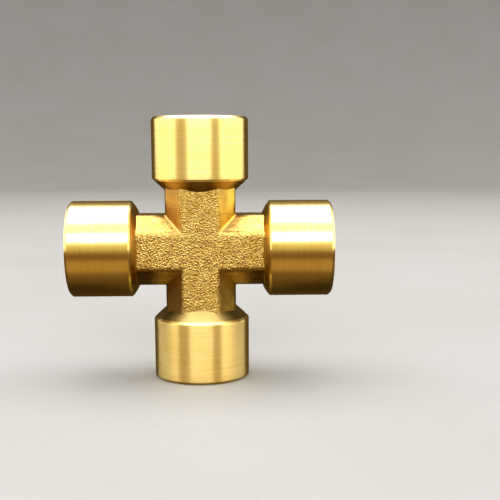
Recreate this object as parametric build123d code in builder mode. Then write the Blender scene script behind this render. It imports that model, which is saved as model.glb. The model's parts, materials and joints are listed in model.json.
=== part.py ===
from build123d import *
import math
import os

# Cross fitting: a forged brass body with four equal female pipe ports, all turned and
# threaded in the one blank.
#
# Frame: the two runs cross at the origin. +Z is up along the vertical run and +X lies
# along the horizontal run. The fitting stands on the face of its bottom port.
#
# Thread of every port: G 1/2 to ISO 228-1, 14 threads per inch, 55 degree Whitworth
# form, 20.955 mm major and 18.631 mm minor diameter. The threaded wall is drawn as a
# plain bore at the minor diameter, the usual way to draw a tapped hole.

# Whole fitting, mm
face_to_face = 68.0
collar_diameter = 25.0
waterway_diameter = 15.0

# Threaded port, mm, measured from the centre of the fitting where it is a depth
thread_minor_diameter = 18.631
thread_bottom = 18.4
drill_point_angle = 118.0
countersink_diameter = 21.8

# Outside of the turned sockets, mm
mouth_chamfer = 0.7
shoulder_edge_radius = 0.3

# Shoulders, mm: where each starts on the flat of the neck, where it ends at the collar, and
# how far it bulges out from a straight cone. Each pair of ports has its own shoulder,
# because each pair is turned in its own setting.
vertical_shoulder_foot = 15.2
vertical_collar_start = 18.3
vertical_shoulder_bulge = 0.05
horizontal_shoulder_foot = 16.1
horizontal_collar_start = 18.0
horizontal_shoulder_bulge = 0.25

# Forged arms: a square bar with its four edges cut off at 45 degrees, mm
neck_width = 18.3
neck_flat_width = 9.2
forging_radius = 0.9
arm_reach = 17.1

# How far the shoulder runs in under the neck's flat, so that it cuts the flat cleanly and
# leaves no feather edge
shoulder_undercut = 0.25

# Worked out from the above
half_length = face_to_face / 2
collar_radius = collar_diameter / 2
waterway_radius = waterway_diameter / 2
minor_radius = thread_minor_diameter / 2
countersink_radius = countersink_diameter / 2
neck_half_width = neck_width / 2
neck_corner_cut = (neck_width - neck_flat_width) / 2
drill_point_length = (minor_radius - waterway_radius) / math.tan(math.radians(drill_point_angle / 2))


def shoulder_points(foot, collar_start, bulge):
    """Ends and middle of the shoulder's slightly convex curve, from the neck to the collar."""
    length = collar_start - foot
    rise = collar_radius - neck_half_width
    slant = math.hypot(length, rise)
    inner_end = (foot - shoulder_undercut * length / rise, neck_half_width - shoulder_undercut)
    outer_end = (collar_start, collar_radius)
    middle = (
        (inner_end[0] + outer_end[0]) / 2 - bulge * rise / slant,
        (inner_end[1] + outer_end[1]) / 2 + bulge * length / slant,
    )
    return inner_end, middle, outer_end


def socket_outline(inner_end, outer_end):
    """Rest of a socket's half section, from the collar's edge round to the shoulder's foot."""
    return [
        outer_end,
        (half_length - mouth_chamfer, collar_radius),
        (half_length, collar_radius - mouth_chamfer),
        (half_length, countersink_radius),
        (half_length - (countersink_radius - minor_radius), minor_radius),
        (thread_bottom, minor_radius),
        (thread_bottom - drill_point_length, waterway_radius),
        (inner_end[0], waterway_radius),
        inner_end,
    ]


def turned_socket(name, outward, shoulder):
    """One port: collar, shoulder, tapped hole and drill point, turned in one.

    In the half section x runs out along the port's axis and y is the radius.
    """
    inner_end, middle, outer_end = shoulder_points(*shoulder)
    with BuildPart() as socket:
        with BuildSketch(Plane(origin=(0, 0, 0), x_dir=outward, z_dir=(0, 1, 0))) as section:
            with BuildLine():
                ThreePointArc(inner_end, middle, outer_end)
                Polyline(*socket_outline(inner_end, outer_end))
            make_face()
            shoulder_edge = section.vertices().group_by(Axis.Y)[-1].sort_by(Axis.X)[0]
            fillet(shoulder_edge, radius=shoulder_edge_radius)
        revolve(axis=Axis((0, 0, 0), outward))
    socket.part.label = name
    return socket


# The four turned sockets
vertical_shoulder = (vertical_shoulder_foot, vertical_collar_start, vertical_shoulder_bulge)
horizontal_shoulder = (
    horizontal_shoulder_foot,
    horizontal_collar_start,
    horizontal_shoulder_bulge,
)
top_socket = turned_socket("top_socket", (0, 0, 1), vertical_shoulder)
bottom_socket = turned_socket("bottom_socket", (0, 0, -1), vertical_shoulder)
right_socket = turned_socket("right_socket", (1, 0, 0), horizontal_shoulder)
left_socket = turned_socket("left_socket", (-1, 0, 0), horizontal_shoulder)
sockets = [top_socket, bottom_socket, right_socket, left_socket]

# The forged centre: two crossing octagonal bars with every edge and valley rounded, bored
# through both ways, their ends cut to the shape of the sockets' shoulders
runs = [Plane.XY, Plane.YZ]
with BuildPart() as forged_body:
    for run in runs:
        with BuildSketch(run) as bar_section:
            Rectangle(neck_width, neck_width)
            chamfer(bar_section.vertices(), length=neck_corner_cut)
        extrude(amount=arm_reach, both=True)
    arm_ends = ShapeList()
    for direction in (Axis.X, Axis.Z):
        faces_along = forged_body.faces().sort_by(direction)
        arm_ends += faces_along[0].edges() + faces_along[-1].edges()
    fillet(forged_body.edges() - arm_ends, radius=forging_radius)
    for run in runs:
        with BuildSketch(run):
            Circle(waterway_radius)
        extrude(amount=half_length, both=True, mode=Mode.SUBTRACT)
    for socket in sockets:
        add(socket.part, mode=Mode.SUBTRACT)
forged_body.part.label = "forged_body"

os.makedirs("parts", exist_ok=True)
for piece in [forged_body] + sockets:
    export_step(piece.part, f"parts/{piece.part.label}.step")
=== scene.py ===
import json
import math

import bpy
import numpy as np
from mathutils import Matrix, Vector, noise


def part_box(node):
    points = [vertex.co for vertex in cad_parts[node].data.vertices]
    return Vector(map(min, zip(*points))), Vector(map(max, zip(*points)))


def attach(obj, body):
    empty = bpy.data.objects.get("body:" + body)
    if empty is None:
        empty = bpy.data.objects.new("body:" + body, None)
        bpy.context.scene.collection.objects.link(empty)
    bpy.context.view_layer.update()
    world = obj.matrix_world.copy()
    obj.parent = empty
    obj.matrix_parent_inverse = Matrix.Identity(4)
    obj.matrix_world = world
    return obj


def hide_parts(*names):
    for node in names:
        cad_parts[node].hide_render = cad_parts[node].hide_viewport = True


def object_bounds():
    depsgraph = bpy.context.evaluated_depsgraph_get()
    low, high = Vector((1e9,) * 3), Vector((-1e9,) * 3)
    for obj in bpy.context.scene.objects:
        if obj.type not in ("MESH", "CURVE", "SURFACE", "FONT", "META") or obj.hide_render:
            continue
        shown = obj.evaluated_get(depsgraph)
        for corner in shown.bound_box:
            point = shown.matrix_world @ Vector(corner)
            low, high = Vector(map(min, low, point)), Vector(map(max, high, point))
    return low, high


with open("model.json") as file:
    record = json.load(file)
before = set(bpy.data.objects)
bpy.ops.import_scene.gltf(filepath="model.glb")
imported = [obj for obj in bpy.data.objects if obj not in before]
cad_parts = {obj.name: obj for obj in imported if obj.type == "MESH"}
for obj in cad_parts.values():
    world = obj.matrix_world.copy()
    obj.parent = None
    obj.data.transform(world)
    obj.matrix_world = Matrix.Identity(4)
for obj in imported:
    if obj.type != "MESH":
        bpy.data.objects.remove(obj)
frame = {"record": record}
cad_low, cad_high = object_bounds()

# ---------------------------------------------------------------- sizes, mm
MM = 0.001


def in_mm(value):
    return value / MM


mounts = {mount["name"]: mount for mount in frame["record"]["mounts"]}

half_length = in_mm(cad_high.z)
collar_radius = in_mm(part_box("top_socket")[1].x)
neck_half_width = in_mm(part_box("forged_body")[1].y)
root_of = {
    "vertical": in_mm(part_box("top_socket")[0].z),
    "horizontal": in_mm(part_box("right_socket")[0].x),
}
thread_minor_radius = mounts["top_port"]["dims"]["r_mm"]

mouth_chamfer = 0.7
countersink_radius = 10.9
thread_bottom = 18.4
waterway_radius = 7.5
drill_half_angle = math.radians(59)
shoulder_undercut = 0.25
foot_radius = neck_half_width - shoulder_undercut
collar_start = {"vertical": 18.3, "horizontal": 18.0}
shoulder_bulge = {"vertical": 0.05, "horizontal": 0.25}
shoulder_edge_radius = 0.3
mouth_outer_rounding = 0.18
mouth_face_rounding = 0.14
countersink_rounding = 0.1
neck_flat_half = 4.6
arm_reach = 16.9
forged_edge_radius = 0.6
forged_valley_radius = 0.15
hidden_clearance = 0.8
grain_depth = 0.065
grain_fade = 0.3
grain_sink = 0.08
bore_skin_depth = 0.4

thread_pitch = 25.4 / 14
thread_depth = 0.640327 * thread_pitch
thread_flank = math.radians(27.5)
thread_rounding = 0.137329 * thread_pitch
thread_run_out = 1.6
thread_run_out_start = thread_bottom + 0.6


# ---------------------------------------------------------------- mesh helpers
def new_piece(name, vertices_mm, faces, replaced_node, materials, material_of):
    """A smooth-shaded mesh piece in the row frame that stands for one CAD node.

    material_of gives each face its place in the list of materials.
    """
    mesh = bpy.data.meshes.new(name)
    mesh.from_pydata((np.asarray(vertices_mm) * MM).tolist(), [], faces)
    for material in materials:
        mesh.materials.append(material)
    mesh.polygons.foreach_set("use_smooth", [True] * len(mesh.polygons))
    mesh.polygons.foreach_set("material_index", np.asarray(material_of, dtype=np.int32))
    mesh.update()
    piece = bpy.data.objects.new(name, mesh)
    bpy.context.scene.collection.objects.link(piece)
    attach(piece, "root")
    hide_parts(replaced_node)


def rounded_corner(before, corner, after, radius, steps):
    """Points of the arc that rounds one corner of a profile."""
    before, corner, after = Vector(before), Vector(corner), Vector(after)
    towards_before = (before - corner).normalized()
    towards_after = (after - corner).normalized()
    half_angle = towards_before.angle(towards_after) / 2
    bisector = (towards_before + towards_after).normalized()
    centre = corner + bisector * (radius / math.sin(half_angle))
    half_sweep = math.pi / 2 - half_angle
    middle = -bisector
    turn = math.copysign(half_sweep, towards_before.cross(towards_after))
    points = []
    for step in range(steps + 1):
        angle = turn * (1 - 2 * step / steps)
        direction = Matrix.Rotation(angle, 2) @ middle
        points.append(tuple(centre + direction * radius))
    return points


# ---------------------------------------------------------------- threaded sockets
ring_points = 192
thread_rows = 150
ring_angles = np.arange(ring_points) * 2 * math.pi / ring_points
COLLAR, BORE, SHOULDER = range(3)


def thread_radius(along, angle):
    """Radius of the right-hand Whitworth thread's wall at a depth and an angle."""
    turns = along / thread_pitch - angle / (2 * math.pi)
    from_root = np.abs((turns - np.floor(turns)) - 0.5) * thread_pitch
    from_crest = thread_pitch / 2 - from_root
    arc_half = thread_rounding * math.cos(thread_flank)
    arc_height = thread_rounding * (1 - math.sin(thread_flank))
    root_arc = thread_depth - thread_rounding + np.sqrt(
        np.maximum(thread_rounding ** 2 - from_root ** 2, 0)
    )
    crest_arc = thread_rounding - np.sqrt(
        np.maximum(thread_rounding ** 2 - from_crest ** 2, 0)
    )
    flank = arc_height + (from_crest - arc_half) / math.tan(thread_flank)
    depth = np.where(from_root < arc_half, root_arc, flank)
    depth = np.where(from_crest < arc_half, crest_arc, depth)
    run_out = np.clip((along - thread_run_out_start) / thread_run_out, 0, 1)
    return thread_minor_radius + depth * run_out ** 2 * (3 - 2 * run_out)


def socket_rings(run):
    """Closed loop of rings, each (distance along the port, radius at every angle)."""
    foot = Vector((root_of[run], foot_radius))
    shoulder = Vector((collar_start[run], collar_radius))
    slant = (shoulder - foot).normalized()
    outward = Vector((-slant.y, slant.x)) * shoulder_bulge[run]
    curve = [
        tuple(foot.lerp(shoulder, t) + outward * 4 * t * (1 - t))
        for t in (0, 0.12, 0.24, 0.36, 0.48, 0.6, 0.72, 0.84)
    ]
    mouth_outer = (half_length - mouth_chamfer, collar_radius)
    mouth_face_outer = (half_length, collar_radius - mouth_chamfer)
    mouth_face_inner = (half_length, countersink_radius)
    countersink_end = (
        half_length - (countersink_radius - thread_minor_radius),
        thread_minor_radius,
    )
    drill_end = (
        thread_bottom - (thread_minor_radius - waterway_radius) / math.tan(drill_half_angle),
        waterway_radius,
    )
    outside = [(foot.x, waterway_radius)] + curve
    outside += rounded_corner(curve[-1], shoulder, mouth_outer, shoulder_edge_radius, 6)
    outside += [
        (shoulder.x + (half_length - mouth_chamfer - shoulder.x) * t, collar_radius)
        for t in (0.1, 0.3, 0.5, 0.7, 0.9)
    ]
    outside += rounded_corner(shoulder, mouth_outer, mouth_face_outer, mouth_outer_rounding, 3)
    outside += rounded_corner(mouth_outer, mouth_face_outer, mouth_face_inner, mouth_face_rounding, 3)
    outside += rounded_corner(mouth_face_outer, mouth_face_inner, countersink_end, countersink_rounding, 3)
    rings = [(along, np.full(ring_points, radius)) for along, radius in outside]
    start = outside[-1][0] - 0.05
    for row in range(thread_rows + 1):
        along = start + (thread_bottom - start) * row / thread_rows
        countersink = countersink_radius - (half_length - along)
        rings.append((along, np.maximum(thread_radius(along, ring_angles), countersink)))
    rings.append((drill_end[0], np.full(ring_points, drill_end[1])))
    return rings, len(outside)


def make_socket(name, outward, run, materials):
    """Lathes one socket about its port's axis, with its thread cut right-handed.

    materials are the brass of its collar, its bore and its shoulder, in that order; the shoulder's brass
    is darkened as painted shade.
    """
    axis = outward
    side = Vector((0, -1, 0))
    third = axis.cross(side)
    rings, inner_ring = socket_rings(run)
    circle = np.outer(np.cos(ring_angles), side) + np.outer(np.sin(ring_angles), third)
    vertices = np.concatenate(
        [np.array(axis) * along + circle * radius[:, None] for along, radius in rings]
    )
    faces, material_of = [], []
    for ring in range(len(rings)):
        next_ring = (ring + 1) % len(rings)
        if ring >= inner_ring:
            material = BORE
        elif rings[next_ring][0] < collar_start[run] - 0.15:
            material = SHOULDER
        else:
            material = COLLAR
        material_of += [material] * ring_points
        for point in range(ring_points):
            next_point = (point + 1) % ring_points
            faces.append((
                ring * ring_points + point,
                ring * ring_points + next_point,
                next_ring * ring_points + next_point,
                next_ring * ring_points + point,
            ))
    new_piece(f"{name}_turned", vertices, faces, name, materials, material_of)


# ---------------------------------------------------------------- forged body
def round_intersection(a, b, radius):
    """Larger of two signed distances, with the edge between them rounded."""
    overshoot = np.sqrt(np.maximum(a + radius, 0) ** 2 + np.maximum(b + radius, 0) ** 2)
    return np.minimum(-radius, np.maximum(a, b)) + overshoot


def round_union(a, b, radius):
    """Smaller of two signed distances, with the valley between them filled round."""
    return -round_intersection(-a, -b, radius)


def forging_distance(x, y, z):
    """Signed distance, mm, to the forged outside: two crossing octagonal bars."""
    corner_cut = (neck_half_width + neck_flat_half) / math.sqrt(2)
    x, y, z = np.abs(x), np.abs(y), np.abs(z)
    cut_beside_x = (x + y) / math.sqrt(2) - corner_cut
    cut_beside_z = (z + y) / math.sqrt(2) - corner_cut
    upright = round_intersection(x - neck_half_width, cut_beside_x, forged_edge_radius)
    level = round_intersection(z - neck_half_width, cut_beside_z, forged_edge_radius)
    sides = round_union(upright, level, forged_valley_radius)
    return round_intersection(y - neck_half_width, sides, forged_edge_radius)


def waterway_distance(x, y, z):
    """Signed distance to the crossing bores, which widen where the sockets start."""
    around_z = np.hypot(x, y)
    around_x = np.hypot(z, y)
    hidden_radius = waterway_radius + hidden_clearance
    vertical = np.minimum(
        around_z - waterway_radius,
        np.maximum(around_z - hidden_radius, root_of["vertical"] - np.abs(z)),
    )
    horizontal = np.minimum(
        around_x - waterway_radius,
        np.maximum(around_x - hidden_radius, root_of["horizontal"] - np.abs(x)),
    )
    return np.minimum(vertical, horizontal)


def body_distance(points):
    """Signed distance, mm, to the forging with its arms cut to length and bored through."""
    x, y, z = points[..., 0], points[..., 1], points[..., 2]
    distance = forging_distance(x, y, z)
    distance = np.maximum(distance, np.maximum(np.abs(x), np.abs(z)) - arm_reach)
    return np.maximum(distance, -waterway_distance(x, y, z))


def surface_net(distance_at, low, high, cell):
    """Quad mesh of a signed distance's zero surface: one vertex in each cell it crosses."""
    axes = [np.arange(low[i], high[i] + cell, cell) for i in range(3)]
    grid = np.stack(np.meshgrid(*axes, indexing="ij"), axis=-1)
    value = distance_at(grid)
    cells = tuple(n - 1 for n in value.shape)
    total = np.zeros(cells + (3,))
    count = np.zeros(cells)
    corners = [(i, j, k) for i in (0, 1) for j in (0, 1) for k in (0, 1)]

    def corner_slice(corner):
        return tuple(slice(c, c + n) for c, n in zip(corner, cells))

    for a in corners:
        for axis in range(3):
            if a[axis]:
                continue
            b = tuple(c + (1 if i == axis else 0) for i, c in enumerate(a))
            va, vb = value[corner_slice(a)], value[corner_slice(b)]
            crosses = (va < 0) != (vb < 0)
            step = np.where(crosses, va / np.where(crosses, va - vb, 1), 0)
            point = grid[corner_slice(a)].copy()
            point[..., axis] += step * cell
            total += point * crosses[..., None]
            count += crosses
    used = count > 0
    index = np.full(cells, -1)
    index[used] = np.arange(used.sum())
    vertices = total[used] / count[used][:, None]
    faces = []
    inside = value < 0
    for axis in range(3):
        other, third = (axis + 1) % 3, (axis + 2) % 3
        lower = [slice(1, -1)] * 3
        upper = [slice(1, -1)] * 3
        lower[axis], upper[axis] = slice(0, -1), slice(1, None)
        start, end = inside[tuple(lower)], inside[tuple(upper)]
        for flip, where in ((False, start & ~end), (True, ~start & end)):
            at = np.argwhere(where)
            at[:, other] += 1
            at[:, third] += 1
            loop = []
            for step_other, step_third in ((-1, -1), (0, -1), (0, 0), (-1, 0)):
                cell_at = at.copy()
                cell_at[:, other] += step_other
                cell_at[:, third] += step_third
                loop.append(index[tuple(cell_at.T)])
            faces += np.stack(loop[::-1] if flip else loop, axis=1).tolist()
    return vertices, faces


def gradient(distance_at, points, step=0.01):
    """Unit outward direction of a signed distance at each point."""
    slope = np.zeros_like(points)
    for axis in range(3):
        offset = np.zeros(3)
        offset[axis] = step
        slope[:, axis] = distance_at(points + offset) - distance_at(points - offset)
    return slope / np.maximum(np.linalg.norm(slope, axis=1), 1e-9)[:, None]


def grain_height(point):
    """Relative height of the blasted forging skin: overlapping dents of a few sizes."""
    p = Vector(point)
    broad = noise.noise(p * 0.45)
    coarse = noise.noise(p * 1.9 + Vector((7, 3, 11)))
    fine = noise.noise(p * 3.2 + Vector((1, 5, 2)))
    return 0.8 * broad + 0.6 * coarse + 0.8 * fine


def make_body(materials):
    """Meshes the forging, then presses the blasted grain into its outer skin.

    materials are its skin's brass and its bores' brass, in that order.
    """
    cell = 0.258
    margin = cell * 2.37
    low = np.array([-arm_reach, -neck_half_width, -arm_reach]) - margin
    high = -low
    vertices, faces = surface_net(body_distance, low, high, cell)
    for _ in range(3):
        vertices -= gradient(body_distance, vertices) * body_distance(vertices)[:, None] * 0.9
    skin = forging_distance(*vertices.T)
    outward = gradient(body_distance, vertices)
    grain = np.array([grain_height(v) for v in vertices])
    on_flat = np.clip((np.abs(vertices[:, 1]) - 8.3) / 0.6, 0.25, 1)
    amount = grain_depth * on_flat * np.clip(1 + skin / grain_fade, 0, 1)
    vertices += outward * (amount * grain - grain_sink * (amount > 0))[:, None]
    bored = skin[np.asarray(faces)].max(axis=1) < -bore_skin_depth
    new_piece("forged_centre", vertices, faces, "forged_body", materials, bored)


# ---------------------------------------------------------------- materials
class NodeTree:
    """Short ways to add and join a material's nodes."""

    def __init__(self, name):
        self.material = bpy.data.materials.new(name)
        self.material.use_nodes = True
        self.nodes = self.material.node_tree.nodes
        self.shader = self.nodes["Principled BSDF"]
        coordinates = self.nodes.new("ShaderNodeTexCoord")
        millimetres = self.nodes.new("ShaderNodeVectorMath")
        millimetres.operation = "SCALE"
        millimetres.inputs["Scale"].default_value = 1 / MM
        self.join(coordinates.outputs["Object"], millimetres.inputs[0])
        self.position = millimetres.outputs[0]

    def join(self, output, socket):
        self.material.node_tree.links.new(output, socket)

    def math(self, operation, first, second):
        node = self.nodes.new("ShaderNodeMath")
        node.operation = operation
        for socket, value in zip(node.inputs, (first, second)):
            if isinstance(value, (int, float)):
                socket.default_value = value
            else:
                self.join(value, socket)
        return node.outputs[0]

    def noise(self, scale, detail=2.0, along=None, stretch=None):
        """Noise of so many waves a millimetre, in space or along one value."""
        node = self.nodes.new("ShaderNodeTexNoise")
        node.inputs["Scale"].default_value = scale
        node.inputs["Detail"].default_value = detail
        if stretch is not None:
            stretched = self.nodes.new("ShaderNodeVectorMath")
            stretched.operation = "MULTIPLY"
            stretched.inputs[1].default_value = stretch
            self.join(self.position, stretched.inputs[0])
            self.join(stretched.outputs[0], node.inputs["Vector"])
        elif along is None:
            self.join(self.position, node.inputs["Vector"])
        else:
            node.noise_dimensions = "1D"
            self.join(along, node.inputs["W"])
        return node.outputs["Fac"]

    def dents(self, scale):
        node = self.nodes.new("ShaderNodeTexVoronoi")
        node.inputs["Scale"].default_value = scale
        self.join(self.position, node.inputs["Vector"])
        return node.outputs["Distance"]

    def ramp(self, value, stops):
        node = self.nodes.new("ShaderNodeValToRGB")
        while len(node.color_ramp.elements) < len(stops):
            node.color_ramp.elements.new(0.5)
        for element, (place, colour) in zip(node.color_ramp.elements, stops):
            element.position = place
            element.color = (*colour, 1)
        self.join(value, node.inputs[0])
        return node.outputs[0]

    def scaled(self, value, low, high, start=0.3, end=0.7):
        node = self.nodes.new("ShaderNodeMapRange")
        node.inputs["From Min"].default_value = start
        node.inputs["From Max"].default_value = end
        node.inputs["To Min"].default_value = low
        node.inputs["To Max"].default_value = high
        self.join(value, node.inputs[0])
        return node.outputs[0]

    def mix(self, amount, colour, other):
        node = self.nodes.new("ShaderNodeMix")
        node.data_type = "RGBA"
        self.join(amount, node.inputs["Factor"])
        self.join(colour, node.inputs[6])
        node.inputs[7].default_value = (*other, 1)
        return node.outputs[2]

    def bump(self, height, depth_mm, under=None):
        node = self.nodes.new("ShaderNodeBump")
        node.inputs["Distance"].default_value = depth_mm * MM
        self.join(height, node.inputs["Height"])
        if under is not None:
            self.join(under, node.inputs["Normal"])
        return node.outputs[0]


def tones(colour, dark, light):
    """Three shades of one metal colour, for a colour ramp."""
    return [
        (0.3, tuple(c * d for c, d in zip(colour, dark))),
        (0.5, colour),
        (0.72, tuple(min(c * d, 0.98) for c, d in zip(colour, light))),
    ]


def turned_brass(name, axis, roughness, anisotropy, base):
    """Lathe-turned brass: fine rings round the port's axis ("X" or "Z")."""
    tree = NodeTree(name)
    shader = tree.shader
    shader.inputs["Metallic"].default_value = 1
    shader.inputs["Anisotropic"].default_value = anisotropy
    shader.inputs["Anisotropic Rotation"].default_value = 0.25
    tangent = tree.nodes.new("ShaderNodeTangent")
    tangent.direction_type = "RADIAL"
    tangent.axis = axis
    tree.join(tangent.outputs[0], shader.inputs["Tangent"])

    split = tree.nodes.new("ShaderNodeSeparateXYZ")
    tree.join(tree.position, split.inputs[0])
    along = split.outputs[axis]
    across = split.outputs["X" if axis == "Z" else "Z"]
    radius_squared = tree.math(
        "ADD",
        tree.math("MULTIPLY", across, across),
        tree.math("MULTIPLY", split.outputs["Y"], split.outputs["Y"]),
    )
    radius = tree.math("SQRT", radius_squared, 0)
    cut_path = tree.math("ADD", along, radius)
    fine_rings = tree.noise(9.0, 3.0, cut_path)
    broad_rings = tree.noise(1.3, 2.0, cut_path)
    handling = tree.noise(0.22, 4.0)
    tree.join(tree.scaled(fine_rings, roughness - 0.04, roughness + 0.04), shader.inputs["Roughness"])
    shade = tree.math("ADD", tree.math("MULTIPLY", broad_rings, 0.5), tree.math("MULTIPLY", handling, 0.5))
    colour = tree.ramp(shade, tones(base, (0.94, 0.9, 0.8), (1.03, 1.06, 1.2)))
    tree.join(colour, shader.inputs["Base Color"])
    height = tree.math("ADD", fine_rings, tree.math("MULTIPLY", broad_rings, 0.8))
    tree.join(tree.bump(height, 0.0035), shader.inputs["Normal"])
    return tree.material


def blasted_brass(name):
    """Forged brass: blasted grain on the flats, and smoother, drawn streaks beside them.

    Beside the flats of the upright arms it is more golden on the right, a painted highlight, and browner
    on the left, painted shade.
    """
    tree = NodeTree(name)
    shader = tree.shader
    shader.inputs["Metallic"].default_value = 1
    split = tree.nodes.new("ShaderNodeSeparateXYZ")
    tree.join(tree.position, split.inputs[0])
    from_middle = tree.math("ABSOLUTE", split.outputs["Y"], 0)
    on_flat = tree.scaled(from_middle, 0.12, 1, 8.45, 8.95)
    grains = tree.noise(2.7, 2.5)
    pits = tree.dents(2.9)
    streaks = tree.noise(0.5, 5.0)
    height = tree.math("ADD", grains, tree.math("MULTIPLY", pits, 0.5))
    height = tree.math("MULTIPLY", height, on_flat)
    shade = tree.math("ADD", tree.math("MULTIPLY", grains, 0.7), tree.math("MULTIPLY", streaks, 0.3))
    colour = tree.ramp(shade, tones(BLASTED_COLOUR, (0.5, 0.4, 0.24), (1.35, 1.45, 2.3)))
    upright = tree.math(
        "GREATER_THAN",
        tree.math("ABSOLUTE", split.outputs["Z"], 0),
        tree.math("ABSOLUTE", split.outputs["X"], 0),
    )
    drawn_z = tree.noise(1.1, 3.0, stretch=(1, 1, 0.08))
    drawn_x = tree.noise(1.1, 3.0, stretch=(0.08, 1, 1))
    drawn = tree.math(
        "ADD",
        tree.math("MULTIPLY", drawn_z, upright),
        tree.math("MULTIPLY", drawn_x, tree.math("SUBTRACT", 1, upright)),
    )
    off_flat = tree.scaled(on_flat, 0.75, 0, 0, 1)
    drawn = tree.math("MULTIPLY", tree.scaled(drawn, 0, 1, 0.4, 0.68), off_flat)
    colour = tree.mix(drawn, colour, PATINA_AND_SHADE_COLOUR)
    beside = tree.math("MULTIPLY", upright, tree.scaled(on_flat, 1, 0, 0.2, 1))
    # Painted light and shade: beside the flats of the upright arms, the right side is mixed towards a
    # lighter gold and the left side towards a darker brown.
    painted_light_right = tree.math("MULTIPLY", tree.scaled(split.outputs["X"], 0, 0.55, 3, 7), beside)
    painted_shade_left = tree.math("MULTIPLY", tree.scaled(split.outputs["X"], 0.75, 0, -7, -3), beside)
    colour = tree.mix(painted_light_right, colour, PAINTED_LIGHT_GOLD)
    colour = tree.mix(painted_shade_left, colour, PATINA_AND_SHADE_COLOUR)
    patches = tree.noise(0.33, 3.0)
    colour = tree.mix(tree.scaled(patches, 0, 0.55, 0.45, 0.7), colour, PATINA_AND_SHADE_COLOUR)
    tree.join(colour, shader.inputs["Base Color"])
    tree.join(tree.scaled(on_flat, 0.27, 0.31, 0, 1), shader.inputs["Roughness"])
    tree.join(tree.bump(height, 0.26), shader.inputs["Normal"])
    return tree.material


TURNED_COLOUR = (0.93, 0.72, 0.26)
BORED_COLOUR = (0.82, 0.58, 0.18)
BLASTED_COLOUR = (0.48, 0.33, 0.082)
# Brown of real patina in the drawn streaks and random patches, also used as painted shade on the left of
# the upright arms.
PATINA_AND_SHADE_COLOUR = (0.3, 0.15, 0.04)
# Lighter gold, used only as painted light on the right of the upright arms.
PAINTED_LIGHT_GOLD = (0.68, 0.5, 0.07)

# The sockets of each run, with the colour and roughness of each shoulder; each shoulder colour is a
# darkened copy of the turned brass, painted shade
RUNS = {
    "vertical": ("Z", [
        ("top_socket", (0, 0, 1), (0.36, 0.21, 0.04), 0.27),
        ("bottom_socket", (0, 0, -1), (0.33, 0.25, 0.09), 0.38),
    ]),
    "horizontal": ("X", [
        ("right_socket", (1, 0, 0), (0.54, 0.35, 0.085), 0.27),
        ("left_socket", (-1, 0, 0), (0.54, 0.35, 0.085), 0.27),
    ]),
}

bored_brass = {}
for run, (axis, sockets) in RUNS.items():
    collar = turned_brass(f"turned_brass_{run}", axis, 0.33, 0.95, TURNED_COLOUR)
    bored_brass[run] = turned_brass(f"bored_brass_{run}", axis, 0.24, 0.4, BORED_COLOUR)
    for name, outward, colour, roughness in sockets:
        # Shoulder brass: turned brass with a darker base colour, painted shade on the shoulders.
        shoulder = turned_brass(f"painted_shade_shoulder_brass_{name}", axis, roughness, 0.3, colour)
        make_socket(name, Vector(outward), run, [collar, bored_brass[run], shoulder])
make_body([blasted_brass("blasted_brass"), bored_brass["vertical"]])


# ---------------------------------------------------------------- stage
FLOOR_COLOUR = (0.24, 0.237, 0.234)


def pale_floor():
    """Matt painted board: faint broad clouding and a finer fleck."""
    tree = NodeTree("pale_floor")
    clouds = tree.noise(0.012, 3.0)
    flecks = tree.noise(0.9, 2.0)
    shade = tree.math("ADD", tree.math("MULTIPLY", clouds, 0.7), tree.math("MULTIPLY", flecks, 0.3))
    colour = tree.ramp(shade, tones(FLOOR_COLOUR, (0.95, 0.95, 0.94), (1.05, 1.05, 1.06)))
    tree.join(colour, tree.shader.inputs["Base Color"])
    tree.join(tree.scaled(flecks, 0.66, 0.76), tree.shader.inputs["Roughness"])
    return tree.material


def make_cove():
    """A pale floor that curves up all round into a plain backdrop. Sizes in metres."""
    floor_radius, bend_radius, wall_height = 1.1, 0.9, 3.5
    segments, bend_steps = 96, 24
    profile = [(0.0, 0.0), (0.3, 0.0), (floor_radius, 0.0)]
    for step in range(1, bend_steps + 1):
        angle = math.pi / 2 * step / bend_steps
        profile.append((
            floor_radius + bend_radius * math.sin(angle),
            bend_radius * (1 - math.cos(angle)),
        ))
    profile.append((floor_radius + bend_radius, wall_height))
    vertices = []
    for radius, height in profile:
        for segment in range(segments):
            angle = 2 * math.pi * segment / segments
            vertices.append((radius * math.cos(angle), radius * math.sin(angle), cad_low.z + height))
    faces = []
    for ring in range(len(profile) - 1):
        for segment in range(segments):
            following = (segment + 1) % segments
            faces.append((
                ring * segments + segment,
                ring * segments + following,
                (ring + 1) * segments + following,
                (ring + 1) * segments + segment,
            ))
    mesh = bpy.data.meshes.new("floor")
    mesh.from_pydata(vertices, [], faces)
    mesh.polygons.foreach_set("use_smooth", [True] * len(mesh.polygons))
    floor = bpy.data.objects.new("floor", mesh)
    bpy.context.scene.collection.objects.link(floor)
    floor.data.materials.append(pale_floor())
    floor.visible_glossy = False


make_cove()


WHITE = (1, 1, 1)
WARM = (1, 0.97, 0.86)


def softbox(name, azimuth, elevation, distance, width, height, radiance, upright=False, tint=WHITE):
    """A soft area light that faces the fitting. Azimuth 0 is in front, 90 on its right."""
    a, e = math.radians(azimuth), math.radians(elevation)
    towards = Vector((math.sin(a) * math.cos(e), -math.cos(a) * math.cos(e), math.sin(e)))
    data = bpy.data.lights.new(name, "AREA")
    data.shape = "RECTANGLE"
    data.size, data.size_y = width, height
    data.energy = radiance * width * height * math.pi
    data.color = tint
    light = bpy.data.objects.new(name, data)
    light.location = towards * distance
    light.rotation_mode = "QUATERNION"
    facing = Vector((towards.x, towards.y, 0)) if upright else towards
    light.rotation_quaternion = facing.to_track_quat("Z", "Y")
    light.visible_camera = False
    bpy.context.scene.collection.objects.link(light)


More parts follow.
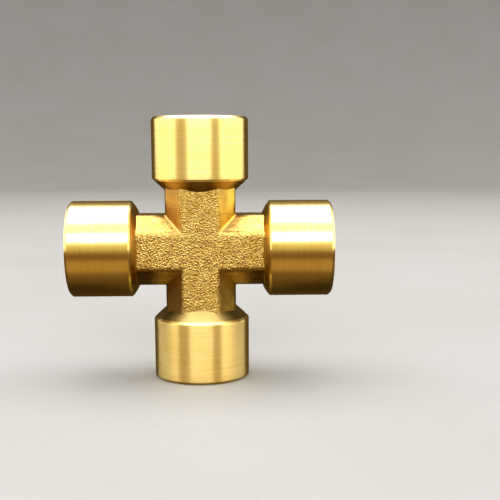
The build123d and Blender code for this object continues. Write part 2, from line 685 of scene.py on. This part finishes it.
softbox("front", -1, 32, 1.0, 0.98, 0.36, 9)
softbox("overhead", 0, 99, 1.0, 1.8, 1.1, 5)
softbox("left_wall", -94, 23, 1.2, 1.6, 1.0, 2.4, upright=True, tint=WARM)
softbox("right_wall", 88, 23, 1.2, 1.8, 1.0, 2.6, upright=True, tint=WARM)


def make_world():
    """Dim warm surroundings for what the softboxes don't cover, darker behind the fitting."""
    world = bpy.data.worlds.new("studio")
    bpy.context.scene.world = world
    world.use_nodes = True
    nodes, links = world.node_tree.nodes, world.node_tree.links
    direction = nodes.new("ShaderNodeTexCoord")
    split = nodes.new("ShaderNodeSeparateXYZ")
    links.new(direction.outputs["Generated"], split.inputs[0])

    def by_height(levels):
        height = nodes.new("ShaderNodeMapRange")
        height.inputs["From Min"].default_value = -1
        links.new(split.outputs["Z"], height.inputs[0])
        ramp = nodes.new("ShaderNodeValToRGB")
        while len(ramp.color_ramp.elements) < len(levels):
            ramp.color_ramp.elements.new(0.5)
        for element, (sine, colour) in zip(ramp.color_ramp.elements, levels):
            element.position = (sine + 1) / 2
            element.color = (*colour, 1)
        links.new(height.outputs[0], ramp.inputs[0])
        return ramp.outputs[0]

    front = by_height([
        (-0.95, (0.15, 0.09, 0.03)),
        (-0.82, (0.17, 0.1, 0.03)),
        (-0.7, (0.46, 0.29, 0.1)),
        (-0.42, (0.46, 0.29, 0.1)),
        (-0.28, (0.2, 0.1, 0.025)),
        (-0.08, (0.24, 0.13, 0.04)),
        (0.08, (0.62, 0.48, 0.13)),
        (0.35, (0.75, 0.64, 0.27)),
        (0.75, (1.8, 1.75, 1.7)),
    ])
    behind = by_height([
        (-0.9, (0.04, 0.025, 0.01)),
        (-0.1, (0.1, 0.06, 0.02)),
        (0.35, (0.12, 0.08, 0.03)),
        (0.8, (0.6, 0.5, 0.35)),
    ])
    depth = nodes.new("ShaderNodeMapRange")
    depth.interpolation_type = "SMOOTHSTEP"
    depth.inputs["From Min"].default_value = -0.45
    depth.inputs["From Max"].default_value = 0.2
    links.new(split.outputs["Y"], depth.inputs[0])
    blend = nodes.new("ShaderNodeMix")
    blend.data_type = "RGBA"
    links.new(depth.outputs[0], blend.inputs["Factor"])
    links.new(front, blend.inputs[6])
    links.new(behind, blend.inputs[7])
    links.new(blend.outputs[2], nodes["Background"].inputs[0])


make_world()
bpy.context.scene.view_settings.view_transform = "Standard"
bpy.context.scene.view_settings.look = "None"

# ---------------------------------------------------------------- camera
camera_data = bpy.data.cameras.new("camera")
camera = bpy.data.objects.new("camera", camera_data)
bpy.context.scene.collection.objects.link(camera)
bpy.context.scene.camera = camera
camera_at = Vector((5.7, -242.3, 26.6)) * MM
camera_target = Vector((12.85, 0, -13.94)) * MM
camera_roll = math.radians(0.21)
camera.location = camera_at
looking = (camera_target - camera_at).to_track_quat("-Z", "Y").to_matrix().to_4x4()
camera.matrix_world = Matrix.Translation(camera_at) @ looking @ Matrix.Rotation(-camera_roll, 4, "Z")
camera_data.lens = 66.5
camera_data.sensor_width = 36
camera_data.shift_y = 0.1
camera_data.clip_start = 0.01
camera_data.clip_end = 50
